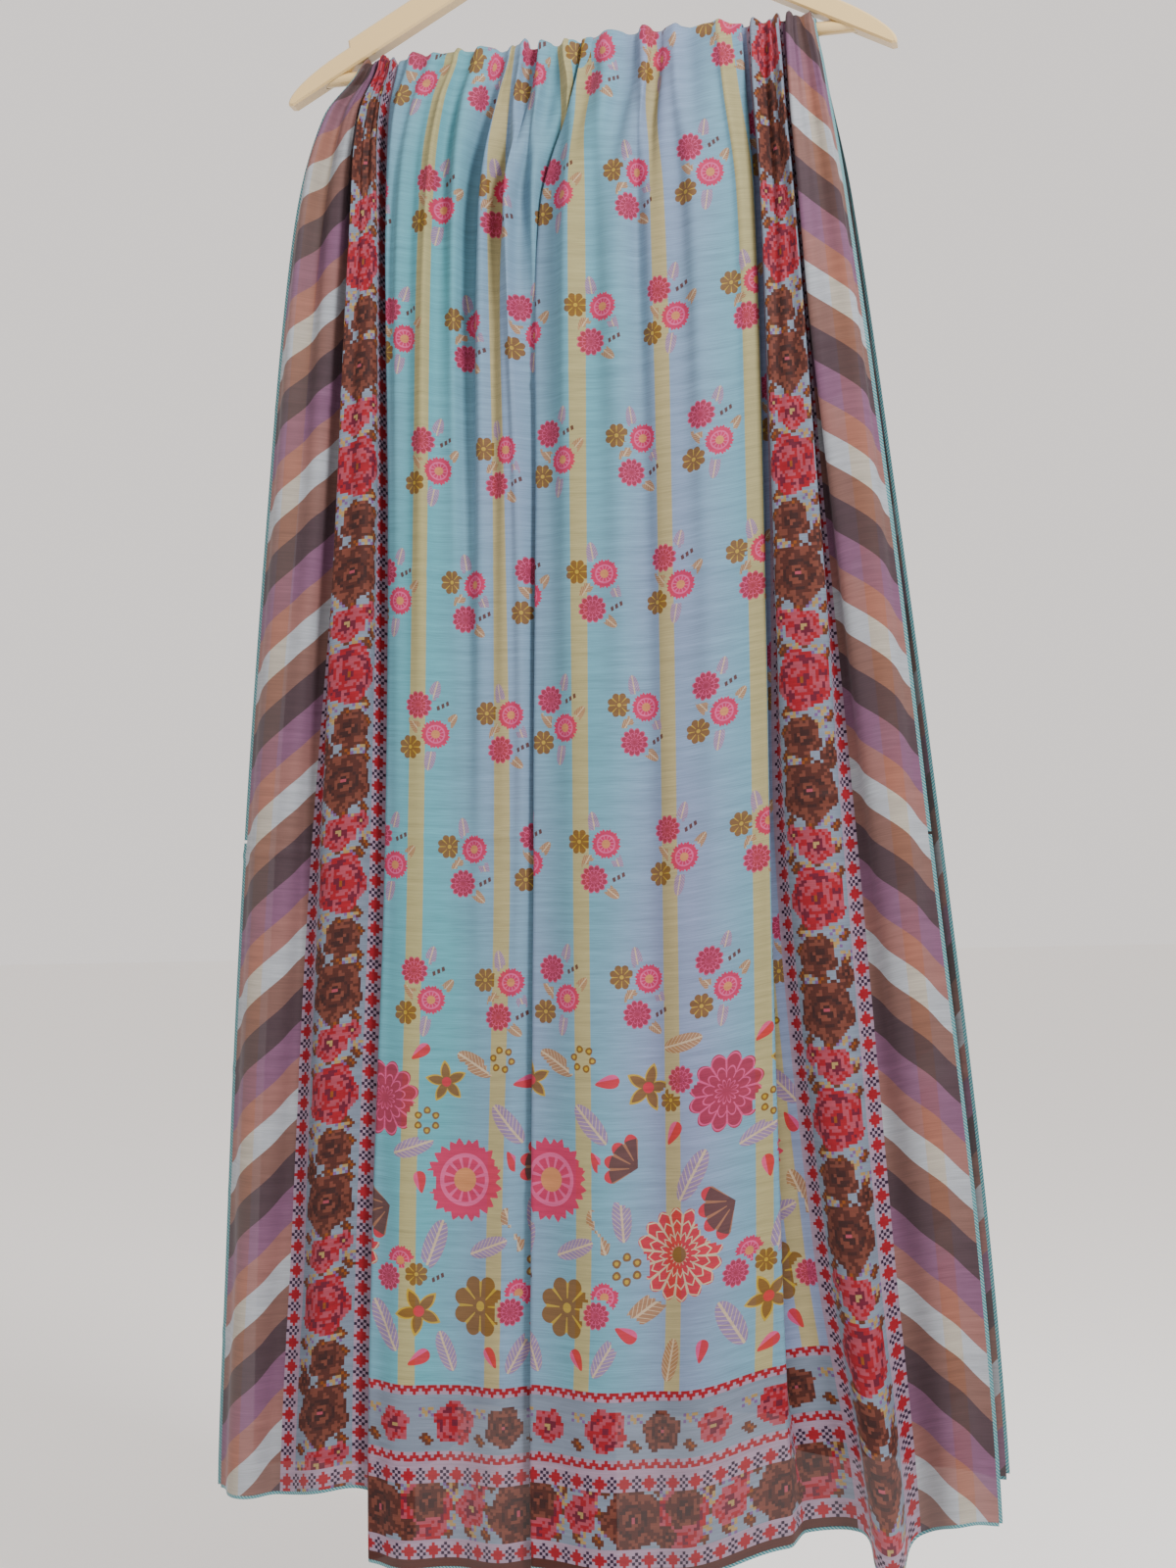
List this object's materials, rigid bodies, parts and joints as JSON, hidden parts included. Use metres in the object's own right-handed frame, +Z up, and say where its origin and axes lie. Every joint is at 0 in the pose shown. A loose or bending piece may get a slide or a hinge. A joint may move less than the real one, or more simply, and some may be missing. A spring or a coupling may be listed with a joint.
{
  "type": "dupatta stole on a wooden hanger",
  "caption": "Semi-sheer printed dupatta stole hung double over the trouser bar of a wooden coat hanger.",
  "frame": {"origin": "inside top of the hanger's hook, where a rail carries it", "axes": "+Z up; the front of the cloth faces -Y; +X is to the right as the front is looked at"},
  "size_m": [0.5794, 0.0728, 1.2958],
  "materials": {
    "ground_cloth": "semi-sheer slubby cotton silk with woven gold stripes and printed flowers",
    "side_cloth": "semi-sheer slubby cotton silk with printed slanting stripes and cross-stitch roses",
    "edging": "teal overlocked thread edge",
    "wood": "pale wood, clear gloss varnish",
    "wire": "bright plated wire"
  },
  "bodies": {
    "root": {"back_hem_left_ground": "edging", "back_hem_left_side": "edging", "back_hem_right_ground": "edging", "back_hem_right_side": "edging", "back_lower_edging_left": "edging", "back_lower_edging_right": "edging", "back_lower_left_ground": "ground_cloth", "back_lower_left_side": "side_cloth", "back_lower_right_ground": "ground_cloth", "back_lower_right_side": "side_cloth", "back_upper_edging_left": "edging", "back_upper_edging_right": "edging", "back_upper_left_ground": "ground_cloth", "back_upper_left_side": "side_cloth", "back_upper_right_ground": "ground_cloth", "back_upper_right_side": "side_cloth", "front_hem_left_ground": "edging", "front_hem_left_side": "edging", "front_hem_right_ground": "edging", "front_hem_right_side": "edging", "front_lower_edging_left": "edging", "front_lower_edging_right": "edging", "front_lower_left_ground": "ground_cloth", "front_lower_left_side": "side_cloth", "front_lower_right_ground": "ground_cloth", "front_lower_right_side": "side_cloth", "front_upper_edging_left": "edging", "front_upper_edging_right": "edging", "front_upper_left_ground": "ground_cloth", "front_upper_left_side": "side_cloth", "front_upper_right_ground": "ground_cloth", "front_upper_right_side": "side_cloth", "hanger_arm_left": "wood", "hanger_arm_right": "wood", "hanger_bar": "wood", "hanger_hook": "wire", "over_bar_edging_left": "edging", "over_bar_edging_right": "edging", "over_bar_left_ground": "ground_cloth", "over_bar_left_side": "side_cloth", "over_bar_right_ground": "ground_cloth", "over_bar_right_side": "side_cloth"}
  },
  "joints": []
}
